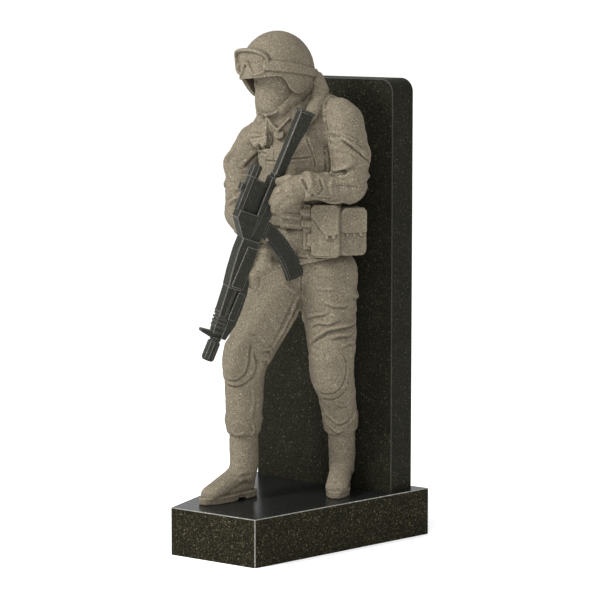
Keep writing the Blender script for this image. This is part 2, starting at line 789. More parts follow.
# ------------------------------------------------------------------------------ rifle
@dataclass
class Rifle:
    """A plain dark stone rifle held muzzle down.

    Attributes:
        butt: middle of the butt end, metres.
        forward: direction of the barrel.
        tilt: turn about the barrel in degrees.
        worn: width of the worn edges in millimetres.
        bm: the mesh that its parts are added to.
    """

    butt: Vec3 = (0.201, -0.120, 1.463)
    forward: Vec3 = (-0.3035, -0.2160, -0.9280)
    tilt: float = 30.0
    worn: float = 2.4
    bm: bmesh.types.BMesh = field(default_factory=bmesh.new)

    def place(self) -> Matrix:
        """Find where the rifle lies.

        Returns:
            The matrix from millimetres along, above and across the barrel to metres in place.
        """
        f = Vector(self.forward).normalized()
        flat, lean = Vector((-0.780, -0.505, 0.370)), Vector((0.581, -0.804, 0.126))
        angle = math.radians(self.tilt)
        up = flat * math.cos(angle) + lean * math.sin(angle)
        up = (up - f * up.dot(f)).normalized()
        turn = Matrix((f, up, f.cross(up))).transposed().to_4x4()
        origin = Vector(self.butt) + Vector((0, 0, PLINTH_TOP))
        return Matrix.Translation(origin) @ turn @ Matrix.Scale(MM, 4)

    def wear(self, verts: Sequence[bmesh.types.BMVert], width: float | None = None,
             limit: float = 25.0) -> None:
        """Bevel the sharp edges of a new shape with the paler worn stone.

        Args:
            verts: the shape's vertices.
            width: bevel width in millimetres.
            limit: smallest edge angle in degrees that wears.
        """
        edges = {e for v in verts if v.is_valid for e in v.link_edges}
        sharp = [e for e in edges if len(e.link_faces) == 2
                 and e.calc_face_angle(0.0) > math.radians(limit)]
        bmesh.ops.bevel(self.bm, geom=sharp, offset=width or self.worn, offset_type="OFFSET",
                        segments=2, profile=0.5, affect="EDGES", material=1,
                        clamp_overlap=True)

    def plate(self, points: Sequence[Pair], width: float, centre: float = 0.0,
              worn: float | None = None) -> None:
        """Add a plate from an outline in (s, h).

        Args:
            points: the outline.
            width: full width across the rifle.
            centre: where its middle lies across the rifle.
            worn: bevel width.
        """
        verts = [self.bm.verts.new((s, h, centre - width / 2)) for s, h in points]
        face = self.bm.faces.new(verts)
        made = bmesh.ops.extrude_face_region(self.bm, geom=[face])
        moved = [g for g in made["geom"] if isinstance(g, bmesh.types.BMVert)]
        bmesh.ops.translate(self.bm, verts=moved, vec=(0, 0, width))
        self.wear(verts + moved, worn)

    def bar(self, s0: float, s1: float, h0: float, h1: float, width: float,
            centre: float = 0.0, worn: float | None = None) -> None:
        """Add a square bar.

        Args:
            s0: start along the barrel.
            s1: end along the barrel.
            h0: lower height.
            h1: upper height.
            width: full width.
            centre: its middle across the rifle.
            worn: bevel width.
        """
        self.plate([(s0, h0), (s1, h0), (s1, h1), (s0, h1)], width, centre, worn)

    def tube(self, stations: Sequence[Pair], h: float = 0.0, steps: int = 28) -> None:
        """Add a turned bar from (s, radius) stations.

        Args:
            stations: places along the barrel with the radius there.
            h: height of its middle line.
            steps: number of its flats.
        """
        # both ends start as pinholes, which close when their points are merged
        pinhole = 0.01
        rows = [(stations[0][0], pinhole), *stations, (stations[-1][0], pinhole)]
        verts = [self.bm.verts.new((s, h + r, 0)) for s, r in rows]
        edges = [self.bm.edges.new(pair) for pair in zip(verts, verts[1:])]
        bmesh.ops.spin(self.bm, geom=verts + edges, cent=(0, h, 0), axis=(1, 0, 0),
                       angle=math.tau, steps=steps, use_merge=True)
        island = self.island(verts[0])
        bmesh.ops.remove_doubles(self.bm, verts=island, dist=2 * pinhole)
        island = [v for v in island if v.is_valid]
        faces = list({f for v in island for f in v.link_faces})
        bmesh.ops.recalc_face_normals(self.bm, faces=faces)
        self.wear(island, 1.6, limit=32.0)

    @staticmethod
    def island(seed: bmesh.types.BMVert) -> list[bmesh.types.BMVert]:
        """Follow edges from one vertex.

        Args:
            seed: the vertex.

        Returns:
            The vertices of its connected piece.
        """
        seen, queue = {seed}, [seed]
        while queue:
            for edge in queue.pop().link_edges:
                for v in edge.verts:
                    if v not in seen:
                        seen.add(v)
                        queue.append(v)
        return list(seen)

    @staticmethod
    def arc(first: Pair, middle: Pair, last: Pair, steps: int = 12) -> list[Pair]:
        """Draw the circle through three points.

        Args:
            first: where it starts.
            middle: a point on the way.
            last: where it ends.
            steps: number of its chords.

        Returns:
            Its points in (s, h), from the first to the last.
        """
        ax, ay, bx, by, cx, cy = *first, *middle, *last
        d = 2 * (ax * (by - cy) + bx * (cy - ay) + cx * (ay - by))
        a, b, c = ax**2 + ay**2, bx**2 + by**2, cx**2 + cy**2
        hub_x = (a * (by - cy) + b * (cy - ay) + c * (ay - by)) / d
        hub_y = (a * (cx - bx) + b * (ax - cx) + c * (bx - ax)) / d
        r = math.hypot(ax - hub_x, ay - hub_y)
        start = math.atan2(ay - hub_y, ax - hub_x)
        end = math.atan2(cy - hub_y, cx - hub_x)
        turn = (end - start + math.pi) % math.tau - math.pi
        return [(hub_x + r * math.cos(start + turn * i / steps),
                 hub_y + r * math.sin(start + turn * i / steps)) for i in range(steps + 1)]

    def magazine(self) -> None:
        """Add the curved magazine: its shell and the proud panels of both sides."""
        front = self.arc((488, -8), (536, -106), (612, -188))
        rear = self.arc((566, -240), (474, -130), (418, -8))
        self.plate(front + rear, 27.0, worn=2.4)
        front = self.arc((478, -20), (526, -110), (599, -188))
        rear = self.arc((566, -226), (484, -130), (428, -20))
        self.plate(front + rear, 30.0, worn=1.2)

    def build(self) -> None:
        """Model the rifle and put it in the scene."""
        # stock and its butt plate
        self.plate([(0, 34), (252, 35), (252, -3), (164, -4), (100, -12), (64, -20), (0, -24)],
                   36.0, worn=3.6)
        self.bar(-7, 3, -26, 37, 40.0, worn=2.0)
        # receiver, its cover, the pistol grip and the trigger guard
        self.bar(246, 508, -12, 38, 36.0)
        self.plate([(256, 0), (350, 17), (490, 29), (490, 45), (262, 45)], 46.0, worn=3.2)
        self.plate([(262, -12), (304, -12), (276, -96), (236, -88)], 29.0, worn=3.0)
        self.bar(304, 418, -20, -10, 24.0)
        # handguard: a broad body with a lower panel that stands a little proud
        self.plate([(506, -6), (700, -8), (700, 48), (640, 58), (560, 66), (506, 66)], 56.0,
                   worn=3.6)
        self.plate([(531, -10), (692, -12), (692, 40), (531, 37)], 64.0, worn=3.2)
        # gas tube over a rod, over the thick fore-end that runs on to the thigh
        self.plate([(696, 16), (812, 14), (812, 38), (696, 48)], 50.0, worn=3.2)
        self.bar(700, 820, 4, 12, 42.0, worn=2.0)
        self.plate([(640, -8), (640, -26), (700, -40), (770, -45), (830, -43), (892, -27),
                    (892, -6)], 44.0, worn=2.6)
        self.plate([(704, -2), (704, -30), (814, -32), (814, 0)], 54.0, worn=3.0)
        # bands round the fore-end, then the gas block and the front sight
        for s, h in ((792, 42), (817, 40), (832, 38), (848, 36)):
            self.bar(s, s + 7, -2, h, 46.0, worn=1.8)
        self.plate([(846, -6), (874, -6), (874, 32), (852, 34), (846, 22)], 38.0)
        self.plate([(870, -14), (900, -14), (898, 34), (888, 78), (876, 80), (874, 40)], 20.0,
                   worn=2.0)
        # barrel, and the stone left standing between it and the gas tube
        self.tube([(500, 13), (910, 13)])
        self.bar(690, 880, -6, 30, 30.0)
        self.bar(780, 854, -4, 35, 40.0)
        # collar and the muzzle with its flats
        self.tube([(894, 21), (905, 21)], 4.0)
        self.tube([(908, 22), (916, 25), (976, 25), (985, 20)], 4.0, steps=10)
        self.magazine()
        # optic: a faceted body with a thicker block at the eye end, on its mount
        self.tube([(240, 21), (246, 24), (286, 24), (292, 19)], 112.0, steps=8)
        self.tube([(288, 21), (410, 21), (418, 19)], 112.0, steps=8)
        self.bar(318, 346, 104, 146, 26.0)
        self.bar(292, 420, 36, 100, 22.0, 4.0)
        self.plate([(414, 34), (512, 34), (512, 66), (446, 118), (414, 118)], 50.0, worn=2.6)
        self.bm.transform(self.place())
        bmesh.ops.recalc_face_normals(self.bm, faces=self.bm.faces)
        mesh = bpy.data.meshes.new("rifle_stone")
        self.bm.to_mesh(mesh)
        self.bm.free()
        obj = finish_mesh("rifle_stone", mesh, [DARK.material(), WORN.material()], smooth=False)
        hand_in(obj, "rifle", Slot.DARK)


# ---------------------------------------------------------------------------- soldier
@dataclass
class Helmet:
    """Helmet with ear lobes, goggles pushed up and their strap.

    Attributes:
        centre: middle of the dome.
        radii: its radii (X, Y, up).
        front: azimuth of the face in degrees, from -Y towards +X.
        roll: how much lower the helmet's far side hangs, millimetres.
        brim: pairs of (degrees from the face, height of the lower edge).
        wall: thickness of the brim.
        lip: how far the brim stands out.
        band: triples of (degrees from the face, height of the strap, half its width).
        lens: goggles' radius of curvature, half width along the curve and half height.
        lens_up: height of the goggles' middle.
        nose: half width and height of the nose notch.
    """

    centre: Vec3 = (42, -87, 1604)
    radii: Vec3 = (131, 155, 156)
    front: float = -10.0
    roll: float = 12.0
    brim: Sequence[Pair] = ((0, 1587), (48, 1589), (60, 1586), (67, 1562), (73, 1540),
                            (82, 1524), (92, 1517), (104, 1528), (115, 1558), (124, 1578),
                            (180, 1576))
    wall: float = 13.0
    lip: float = 3.0
    band: Sequence[Vec3] = ((38, 1631, 19), (70, 1618, 18), (115, 1597, 15), (180, 1592, 14))
    lens: Vec3 = (170, 104, 53)
    lens_up: float = 1646.0
    nose: Pair = (19.0, 46.0)

    def shell(self, degrees: float, height: float, offset: float = 0.0) -> Vec3:
        """Find a point on the helmet's wall.

        Args:
            degrees: azimuth from the face.
            height: its height.
            offset: how far outside the wall.

        Returns:
            The point.
        """
        up = (height - self.centre[2]) / self.radii[2]
        share = math.sqrt(max(1 - up * up, 0.0)) if up > 0 else 1 - 0.55 * up * up
        a = math.radians(degrees + self.front)
        return (self.centre[0] + (self.radii[0] * share + offset) * math.sin(a),
                self.centre[1] - (self.radii[1] * share + offset) * math.cos(a), height)

    def add_dome(self, kit: Clay) -> None:
        """Add the shell with its ear lobes.

        Args:
            kit: clay to add to.
        """
        turns = np.arange(0, 360, 4)
        # the lower edge: its levels between the places given, eased and rolled to one side
        places, levels = zip(*self.brim)
        folded = np.minimum(turns, 360 - turns)
        low = np.interp(folded, places, levels)
        low = (np.roll(low, 1) + 2 * low + np.roll(low, -1)) / 4
        low = low + self.roll * np.sin(np.radians(turns))
        top = self.centre[2]
        rings = [[self.shell(d, top + self.radii[2] * math.cos(math.radians(f))) for d in turns]
                 for f in (1, 6, 12, 20, 28, 36, 44, 52, 60, 68, 76, 84, 90)]
        # down the wall to a brim that stands a little proud
        rings += [[self.shell(d, top + (z - top) * s, self.lip * (s > 0.9))
                   for d, z in zip(turns, low)] for s in (0.3, 0.6, 0.8, 0.93, 1.0)]
        # in under the brim, up inside and shut within the head
        rings.append([self.shell(d, z, -self.wall) for d, z in zip(turns, low)])
        rings.append([self.shell(d, top + 18, -self.wall - 4) for d in turns])
        rings.append([(self.centre[0] + math.sin(d), self.centre[1] - math.cos(d), top + 40)
                      for d in np.radians(turns + self.front)])
        kit.loft(rings)

    def add_band(self, kit: Clay) -> None:
        """Add the strap that runs round the back.

        Args:
            kit: clay to add to.
        """
        places, middles, halves = zip(*self.band)
        rings = []
        for d in np.arange(30, 331, 5):
            folded = min(d, 360 - d)
            mid = np.interp(folded, places, middles) + self.roll * math.sin(math.radians(d))
            half = np.interp(folded, places, halves)
            # a flat strap with rounded edges, whose back lies inside the wall
            levels = [mid + half * s for s in (1.0, 0.92, 0.3, -0.3, -0.92, -1.0)]
            proud = (5.0, 10.5, 11.0, 11.0, 10.5, 5.0)
            outer = [self.shell(d, z, out) for z, out in zip(levels, proud)]
            inner = [self.shell(d, z, -9.0) for z in reversed(levels)]
            rings.append(outer + inner)
        kit.loft(rings)

    def add_goggles(self, kit: Clay) -> None:
        """Add the goggles: a rounded rim, a sunken lens and a nose notch.

        Args:
            kit: clay to add to.
        """
        # height above their middle that the inner rings shrink towards
        heart = 6.0
        radius, half, tall = self.lens
        look = math.radians(self.front - 1.0)
        ahead = Vector((math.sin(look), -math.cos(look), 0))
        right = Vector((math.cos(look), math.sin(look), 0))
        hub = Vector((self.centre[0], self.centre[1], 0)) - ahead * 8.0
        angles = np.radians(np.arange(0, 360, 3))
        # a slightly squared oval, pushed up in the middle below for the nose
        x = half * np.sign(np.cos(angles)) * np.abs(np.cos(angles)) ** 0.88
        y = tall * np.sign(np.sin(angles)) * np.abs(np.sin(angles)) ** 0.80
        y = np.where(y < 0, y + self.nose[1] * np.exp(-(x / self.nose[0]) ** 2), y)
        along_x, along_y = np.roll(x, -1) - np.roll(x, 1), np.roll(y, -1) - np.roll(y, 1)
        span = np.hypot(along_x, along_y)

        def ring(inset: float, share: float, proud: float) -> list[Vec3]:
            """Draw one ring of the goggles.

            Args:
                inset: how far inside the outline, millimetres.
                share: how far it has shrunk towards the middle as well.
                proud: how far outside the lens.

            Returns:
                Its points.
            """
            points = []
            for px, py in zip((x - along_y / span * inset) * share,
                              (y + along_x / span * inset - heart) * share + heart):
                # bent round the helmet, leaning back above and drawn in at both sides
                turn = px / radius
                away = radius + proud - 0.10 * (tall - py) - 8.0 * abs(px / half) ** 3
                spot = hub + ahead * (away * math.cos(turn)) + right * (away * math.sin(turn))
                points.append((spot.x, spot.y, self.lens_up + py))
            return points

        kit.loft([ring(*r) for r in ((17, 0.03, -7), (17, 0.5, -7), (17, 0.97, -8), (14, 1.0, -7),
                                     (12, 1.0, 3), (9, 1.0, 7), (5, 1.0, 7), (1, 1.0, 2),
                                     (0, 1.0, -7), (1, 1.0, -40), (10, 0.5, -60),
                                     (10, 0.03, -60))])

    def build(self, kit: Clay) -> None:
        """Add the dome, the strap and the goggles.

        Args:
            kit: clay to add to.
        """
        self.add_dome(kit)
        self.add_band(kit)
        self.add_goggles(kit)


@dataclass(frozen=True)
class Pouch:
    """One stuffed belt pouch.

    Attributes:
        centre: its middle.
        look: where it looks.
        half: half sizes (right, height).
        deep: half its depth.
        flap: outline of the flap as (right, height).
        studs: places of the press studs.
    """

    centre: Vec3
    look: Vec3
    half: Pair
    deep: float
    flap: Sequence[Pair]
    studs: Sequence[Pair]

    def build(self, kit: Clay) -> None:
        """Add the bag, its bulge, its flap and its studs.

        Args:
            kit: clay to add to.
        """
        centre, axes, deep = Vector(self.centre), facing(self.look), self.deep
        x, y = self.half
        outline = [(-x, -y + 14), (-x + 12, -y), (x - 12, -y), (x, -y + 14), (x, y - 12),
                   (x - 12, y), (-x + 12, y), (-x, y - 12)]
        kit.prism(outline, centre, self.look, deep, deep - 6, 9)
        kit.pod(centre + axes @ Vector((0, 22, deep - 28)),
                centre + axes @ Vector((0, -44, deep - 26)),
                (x - 8, 26, 36), side=Vector(axes.col[0]))
        kit.prism(self.flap, centre, self.look, -(deep - 18), deep + 7, 2.5)
        for right, up in self.studs:
            spot = centre + axes @ Vector((right, up, deep + 3))
            kit.pod(spot, spot, (7, 7, 7))


@dataclass(frozen=True)
class Boot:
    """One boot on a thick sole with a separate heel block.

    Attributes:
        heel: middle of its heel on the ground.
        toe: direction from the heel to the toe, level.
        ankle: top of its shaft.
        size: its length as a share of the pattern's.
        middle: how far in front of the heel's middle the pattern's own middle lies.
        half: half the pattern's length.
        broad: half the pattern's width.
        dots: points that draw an outline.
    """

    heel: Vec3
    toe: Vec3
    ankle: Vec3
    size: float
    middle: float = 84
    half: float = 134
    broad: float = 38
    dots: int = 29

    def at(self, forward: float, height: float) -> Vec3:
        """Find a point above the sole.

        Args:
            forward: how far in front of the heel's middle it lies, on the pattern.
            height: its height above the ground.

        Returns:
            The point.
        """
        return (self.heel[0] + self.toe[0] * forward * self.size,
                self.heel[1] + self.toe[1] * forward * self.size, height)

    def plan(self, wide: float, start: float, end: float) -> list[Pair]:
        """Draw the foot as seen from above.

        Args:
            wide: its width as a share of the pattern's.
            start: where the outline starts, in degrees round from the toe.
            end: where it ends.

        Returns:
            The outline as (right, forward).
        """
        turns = np.radians(np.linspace(start, end, self.dots))
        # a full turn comes back to its first point, which is left out
        if end - start == 360:
            turns = turns[:-1]
        points = []
        for a in turns:
            forward = self.middle + self.half * math.cos(a)
            # wider at the ball of the foot, narrower at its waist, and blunt at both ends
            ball = 9 * math.exp(-((forward - 140) / 60) ** 2)
            waist = 4 * math.exp(-((forward - 56) / 36) ** 2)
            across = math.copysign(abs(math.sin(a)) ** 0.62, math.sin(a))
            points.append(((self.broad + ball - waist) * wide * across, forward * self.size))
        return points

    def build(self, kit: Clay) -> None:
        """Add the shaft, the foot and the sole.

        Args:
            kit: clay to add to.
        """
        at, side = self.at, Vector(self.toe).cross(Vector((0, 0, 1)))
        kit.chain([self.ankle, at(4, 130), at(16, 84)],
                  [(52, 58, 30), (51, 58, 40), (48, 57, 40)], side=side)
        kit.chain([at(8, 112), at(56, 80), at(112, 56), at(166, 38)],
                  [(43, 44, 44), (42, 40, 42), (42, 38, 40), (43, 30, 40)], side=side)
        kit.pod(at(-2, 52), at(100, 44), (36, 36, 34), (41, 32, 38), side=side)
        # tread and heel block with the arch between them, then their filling and the welt
        for wide, start, end, low, tall, rounding in ((0.99, -98, 98, 0, 18, 2.5),
                                                      (0.99, 116, 244, 0, 18, 2.5),
                                                      (0.94, -180, 180, 8, 12, 2.5),
                                                      (1.04, -180, 180, 18, 9, 3)):
            kit.prism(self.plan(wide, start, end), (self.heel[0], self.heel[1], low), (0, 0, 1),
                      0, tall, rounding, self.toe)

    def dress(self, fine: Carver) -> None:
        """Crease the shaft above the instep.

        Args:
            fine: carver of the boots' skin.
        """
        shaft = Limb(self.ankle, (self.heel[0], self.heel[1], 60), radius=90, girth=56)
        fine.wrinkles(shaft, 1.4, 40, 90, 0.2, 31)
        fine.folds(shaft, [Fold([(0.72, 60), (0.80, 20), (0.74, -30)], 3, 9),
                           Fold([(0.88, 60), (0.94, 20), (0.88, -30)], 3, 9)])


@dataclass
class Soldier:
    """The carved figure, in pieces that meet in creases and under hems.

    Attributes:
        stone: the granite that all of it is carved from.
        armhole: seam that the trunk and the left sleeve share.
        vest_seam: seam across the front of the vest.
        side_seam: seam under the left arm.
        pouch_set: the belt pouches, left front, left hip and right hip.
        boot_pair: the right boot and the left one.
        rough_trunk: size of the skin's cells before the trunk is carved.
        rough_limb: the same for sleeves and trousers.
        trunk_cell: size of the finished trunk's cells.
        arms_cell: the same for the arms.
        pouch_cell: the same for the pouches.
        head_cell: the same for the head.
        legs_cell: the same for the legs.
        boot_cell: the same for the boots.
    """

    stone: bpy.types.Material = field(default_factory=CARVED.material)
    armhole: Sequence[Vec3] = ((236, 16, 1535), (222, -20, 1486), (246, -54, 1425),
                               (256, -64, 1380), (259, -60, 1320), (250, -48, 1245))
    vest_seam: Sequence[Vec3] = ((20, -134, 1281), (90, -141, 1281), (145, -128, 1291),
                                 (203, -88, 1300))
    side_seam: Sequence[Vec3] = ((180, -90, 1365), (200, -86, 1320), (208, -84, 1295),
                                 (212, -80, 1262))
    pouch_set: Sequence[Pouch] = (
        Pouch((230, -38, 1026), (0.45, -0.89, 0.0), (54, 99), 36,
              ((-52, 84), (-40, 98), (40, 98), (52, 84), (52, -8), (42, -14), (2, -16),
               (-44, 44), (-52, 52)), ((8, -24), (34, -22))),
        Pouch((287, 40, 1021), (0.80, -0.6, 0.0), (53, 89), 36,
              ((-49, 76), (-38, 90), (38, 90), (49, 76), (49, 2), (40, -2), (-40, -2),
               (-49, 2)), ((-26, -10), (0, -12), (26, -10))),
        Pouch((-64, 66, 1004), (-0.95, 0.3, 0.0), (44, 70), 26,
              ((-46, 60), (-36, 73), (36, 73), (46, 60), (46, 2), (-46, 2)), ((0, -8),)))
    boot_pair: Sequence[Boot] = (
        Boot((-90, -115, 0), (-0.155, -0.988, 0.0), (-101, -109, 240), 1.05),
        Boot((124, 220, 0), (0.45, -0.893, 0.0), (137, 198, 240), 0.90))
    rough_trunk: float = 6.0
    rough_limb: float = 5.0
    trunk_cell: float = 3.5
    arms_cell: float = 3.2
    pouch_cell: float = 3.0
    head_cell: float = 2.7
    legs_cell: float = 3.75
    boot_cell: float = 3.0

    def finish(self, name: str, mesh: bpy.types.Mesh) -> None:
        """Put one piece of the figure in the scene.

        Args:
            name: its name.
            mesh: its mesh.
        """
        hand_in(finish_mesh(name, mesh, [self.stone]), "soldier", Slot.CARVED)

    # ---------------------------------------------------------------------------- trunk
    def trunk(self) -> None:
        """Carve the jacket, the vest, the hood and the belt."""
        # hips to chest, shoulders, the slopes of the neck, then chest and belly
        cloth = Clay()
        cloth.chain([(88, 58, 930), (84, 52, 990), (80, 34, 1060), (76, 0, 1280), (66, -14, 1368)],
                    [(158, 118, 30), (154, 114, 60), (148, 110, 70), (166, 120, 80),
                     (144, 102, 60)])
        cloth.chain([(-88, -22, 1362), (60, -14, 1400), (236, 2, 1396)],
                    [60, (80, 84, 78), 64], side=(0, 0, 1))
        cloth.chain([(128, 10, 1494), (224, 8, 1462)], [56, 58])
        cloth.chain([(10, -30, 1430), (-70, -24, 1372)], [48, 50])
        cloth.pod((60, -36, 1424), (58, -50, 1476), (112, 98, 56), (94, 84, 44))
        cloth.pod((112, 34, 1440), (112, 34, 1560), (84, 72, 60), (50, 44, 36))
        cloth.pod((-16, -66, 1416), (-6, -74, 1470), (42, 52, 40), (34, 42, 30))
        cloth.pod((80, 10, 1180), (72, -12, 1330), (158, 132, 40), (146, 132, 46))
        body = cloth.skin(self.rough_trunk, 8)
        carver = Carver(body)
        trunk = Limb((72, 0, 1400), (86, 55, 900), radius=210, girth=140)
        carver.wrinkles(trunk, 2.5, 70, 160, 0.1, 12)
        carver.wrinkles(trunk, 1.6, 34, 90, 0.3, 13)
        carver.folds(trunk, [
            Fold([(0.82, 30), (0.86, 60), (0.84, 85)], 5, 12),
            Fold([(0.30, -60), (0.44, -75), (0.50, -95)], 6, 13),
            Fold([(0.25, 110), (0.40, 95), (0.55, 80)], 7, 13),
            Fold([(0.50, 110), (0.58, 80), (0.60, 60)], 6, 12),
            Fold([(0.20, 150), (0.30, 180), (0.22, 215)], 7, 16),
            Fold([(0.45, 140), (0.55, 180), (0.46, 220)], 7, 15),
            Fold([(0.80, 150), (0.86, 180), (0.80, 215)], 6, 14)])
        kit = Clay()
        self.collar(kit)
        self.belt(kit)
        mesh = kit.skin(self.trunk_cell, 2, body)
        fine = Carver(mesh)
        # edges of the vest, the last one down its front
        fine.seam(self.armhole, 6, 5.0, 0.5)
        fine.seam(self.vest_seam, 5, 3.2, 1.5)
        fine.seam(self.side_seam, 4, 3, 1.5)
        fine.seam([(60, -150, 1360), (62, -140, 1330), (64, -140, 1282)], 4, 3, 1)
        # hem of the jacket: a doubled edge
        fine.seam([(50, -70, 922), (122, -68, 920), (216, -74, 924), (276, -20, 926)], 6, 3.4, 2.5)
        # chest pocket under the crossed forearm: two tucks and a flap
        fine.panel((-14, -110, 1352), (-0.25, -0.95, 0.1), (52, 26), 6, 5, 4)
        fine.seam([(-62, -96, 1358), (-20, -116, 1364), (26, -128, 1372)], 4, 3, 1.5)
        fine.seam([(-66, -90, 1326), (-20, -112, 1322), (34, -132, 1332)], 8, 4.5, 2.5)
        fine.seam([(-44, -98, 1300), (-14, -112, 1312), (24, -130, 1308)], 5, 4, 3)
        fine.seam([(28, -140, 1322), (16, -132, 1285), (0, -118, 1240)], -4, 3)
        # seams across and down the back of the jacket
        fine.seam([(-60, 120, 1300), (80, 136, 1306), (220, 110, 1300)], 3.5, 2.6, 1.5)
        fine.seam([(80, 150, 1420), (80, 136, 1300), (84, 150, 1180)], 3.0, 2.4, 1.2)
        fine.roughen(0.45, 9.0)
        self.finish("soldier_trunk", mesh)

    def collar(self, kit: Clay) -> None:
        """Add the turned-down hood, the lapels and the neckline.

        Args:
            kit: clay to add to.
        """
        # broad roll of the hood, from behind the helmet down to the breast
        kit.chain([(150, 16, 1584), (176, 2, 1540), (190, -38, 1496), (186, -74, 1452),
                   (166, -106, 1408)],
                  [(24, 28, 26), (30, 34, 30), (30, 32, 30), (25, 26, 28), (12, 14, 14)])
        # the other side hangs down as a crumpled lapel with a crisp edge
        kit.chain([(-8, -60, 1500), (-20, -84, 1462), (-14, -104, 1430)], [28, 30, 22])
        kit.prism([(-52, 34), (-30, 56), (30, 70), (45, 58), (40, 8), (47, -46), (30, -54),
                   (4, -42), (-24, -60), (-56, -34)], (-10, -112, 1390), (-0.35, -0.93, 0.12),
                  34, 12, 4)
        # neckline in a V with a small tab
        kit.chain([(37, -149, 1448), (56, -145, 1420), (80, -137, 1396), (124, -124, 1442)],
                  [5.5, 5.5, 5.5, 5.5])
        kit.prism([(-20, 12), (20, 12), (19, -7), (9, -13), (-9, -13), (-19, -7)],
                  (80, -131, 1378), (0.2, -0.95, 0.15), 14, 3, 2.5)
        # back of the hood
        kit.chain([(150, 40, 1500), (120, 84, 1500), (60, 78, 1500), (6, 20, 1490),
                   (-20, -40, 1480)], [26, 34, 36, 32, 26])

    def belt(self, kit: Clay) -> None:
        """Add the belt, the buckle, the straps and the jacket's hem.

        Args:
            kit: clay to add to.
        """
        # doubled hem, the jacket's skirt above it and the belt
        kit.pod((88, 54, 910), (87, 53, 916), (172, 130, 10), (171, 129, 10))
        kit.pod((88, 54, 924), (82, 40, 1030), (167, 127, 10), (155, 115, 30))
        kit.pod((80, 35, 1042), (80, 34, 1070), (163, 124, 10), (160, 122, 10))
        # buckle: its plate, the tongue and two rims
        look = (0.20, -0.98, 0.06)
        kit.box((44, 27), (108, -90, 1057), look, 16, 6, 3)
        kit.box((5, 20), (76, -97, 1057), look, 10, 7, 2)
        kit.box((34, 5), (110, -98, 1072), look, 10, 3, 2)
        kit.box((34, 5), (110, -98, 1042), look, 10, 3, 2)
        # hanging strap beside the front pouch, with its loops and its end
        side = (0.42, -0.90, 0.0)
        kit.box((15, 84), (172, -76, 1040), side, 16, 10, 3.5)
        kit.box((19, 14), (170, -86, 1094), side, 10, 8, 3)
        kit.box((20, 13), (176, -86, 1052), side, 10, 10, 3)
        kit.box((13, 24), (190, -80, 992), side, 10, 10, 3)
        # back: a roll bag on the belt
        kit.chain([(20, 152, 1050), (136, 150, 1050)], [34, 34])
        kit.box((60, 30), (78, 158, 1066), (0, 1, 0), 20, 22, 6)

    # --------------------------------------------------------------------------- pouches
    def pouches(self) -> None:
        """Carve the belt pouches with their flaps and studs."""
        kit = Clay()
        for pouch in self.pouch_set:
            pouch.build(kit)
        mesh = kit.skin(self.pouch_cell, 3)
        fine = Carver(mesh)
        # seam along the bottom of the left pair
        fine.seam([(176, -84, 940), (222, -74, 930), (262, -52, 934)], 2, 2.4, 1)
        fine.roughen(0.5, 8.0)
        self.finish("soldier_pouches", mesh)

    # ------------------------------------------------------------------------------ arms
    def arms(self) -> None:
        """Carve the sleeves and the gloves."""
        # left upper arm and forearm, then the right ones
        cloth = Clay()
        cloth.chain([(256, 8, 1458), (274, 8, 1422), (298, 12, 1310), (300, 16, 1190)],
                    [58, 77, 73, 62])
        cloth.chain([(300, 10, 1182), (228, -112, 1194), (208, -144, 1197)],
                    [58, (50, 50, 30), (57, 57, 12)])
        cloth.chain([(-110, -24, 1342), (-150, -50, 1262), (-148, -60, 1118)], [66, 63, 58])
        cloth.chain([(-146, -66, 1100), (-144, -76, 1072), (-14, -156, 1002)],
                    [58, 57, (49, 49, 16)])
        body = cloth.skin(self.rough_limb, 5)
        carver = Carver(body)
        upper_left = Limb((266, 6, 1380), (298, 16, 1180), radius=100)
        fore_left = Limb((298, 10, 1172), (214, -128, 1190), zero=(0.58, -0.81, 0), radius=80,
                         girth=58)
        upper_right = Limb((-118, -20, 1350), (-152, -56, 1126), radius=96)
        fore_right = Limb((-150, -60, 1118), (10, -172, 985), zero=(0.3, -0.9, 0.3), radius=78,
                          girth=54)
        for limb, seed, shear in ((upper_left, 5, 0.25), (fore_left, 6, -0.2),
                                  (upper_right, 7, -0.25), (fore_right, 8, 0.2)):
            carver.wrinkles(limb, 1.8, 46, 120, shear, seed)
            carver.wrinkles(limb, 2.0, 28, 80, shear * 2, seed + 40)
        carver.folds(upper_left, [
            Fold([(0.02, 10), (0.10, -10), (0.28, -38), (0.46, -60)], 10.5, 9.9, 1),
            Fold([(0.60, 70), (0.62, 40), (0.58, 0), (0.52, -25)], 12, 10.8, 1),
            Fold([(0.80, 50), (0.84, 20), (0.92, -30)], 7.5, 9),
            Fold([(0.20, -70), (0.40, -85), (0.62, -90)], 9, 10.8),
            Fold([(0.85, -70), (0.80, -110), (0.90, -150)], 12, 10.8),
            Fold([(0.35, 120), (0.50, 150), (0.45, 190)], 12, 11.7),
            Fold([(0.70, 130), (0.82, 165), (0.74, 210)], 12, 10.8)])
        carver.folds(fore_left, [
            Fold([(0.10, 70), (0.34, 62), (0.60, 76)], 9, 8.1),
            Fold([(0.52, 60), (0.62, 20), (0.56, -20), (0.46, -50)], 5, 8),
            Fold([(0.20, -50), (0.40, -72), (0.64, -80)], 9, 9),
            Fold([(0.15, 130), (0.3, 170), (0.2, 220)], 10.5, 9),
            Fold([(0.60, 140), (0.7, 180), (0.6, 215)], 9, 9)])
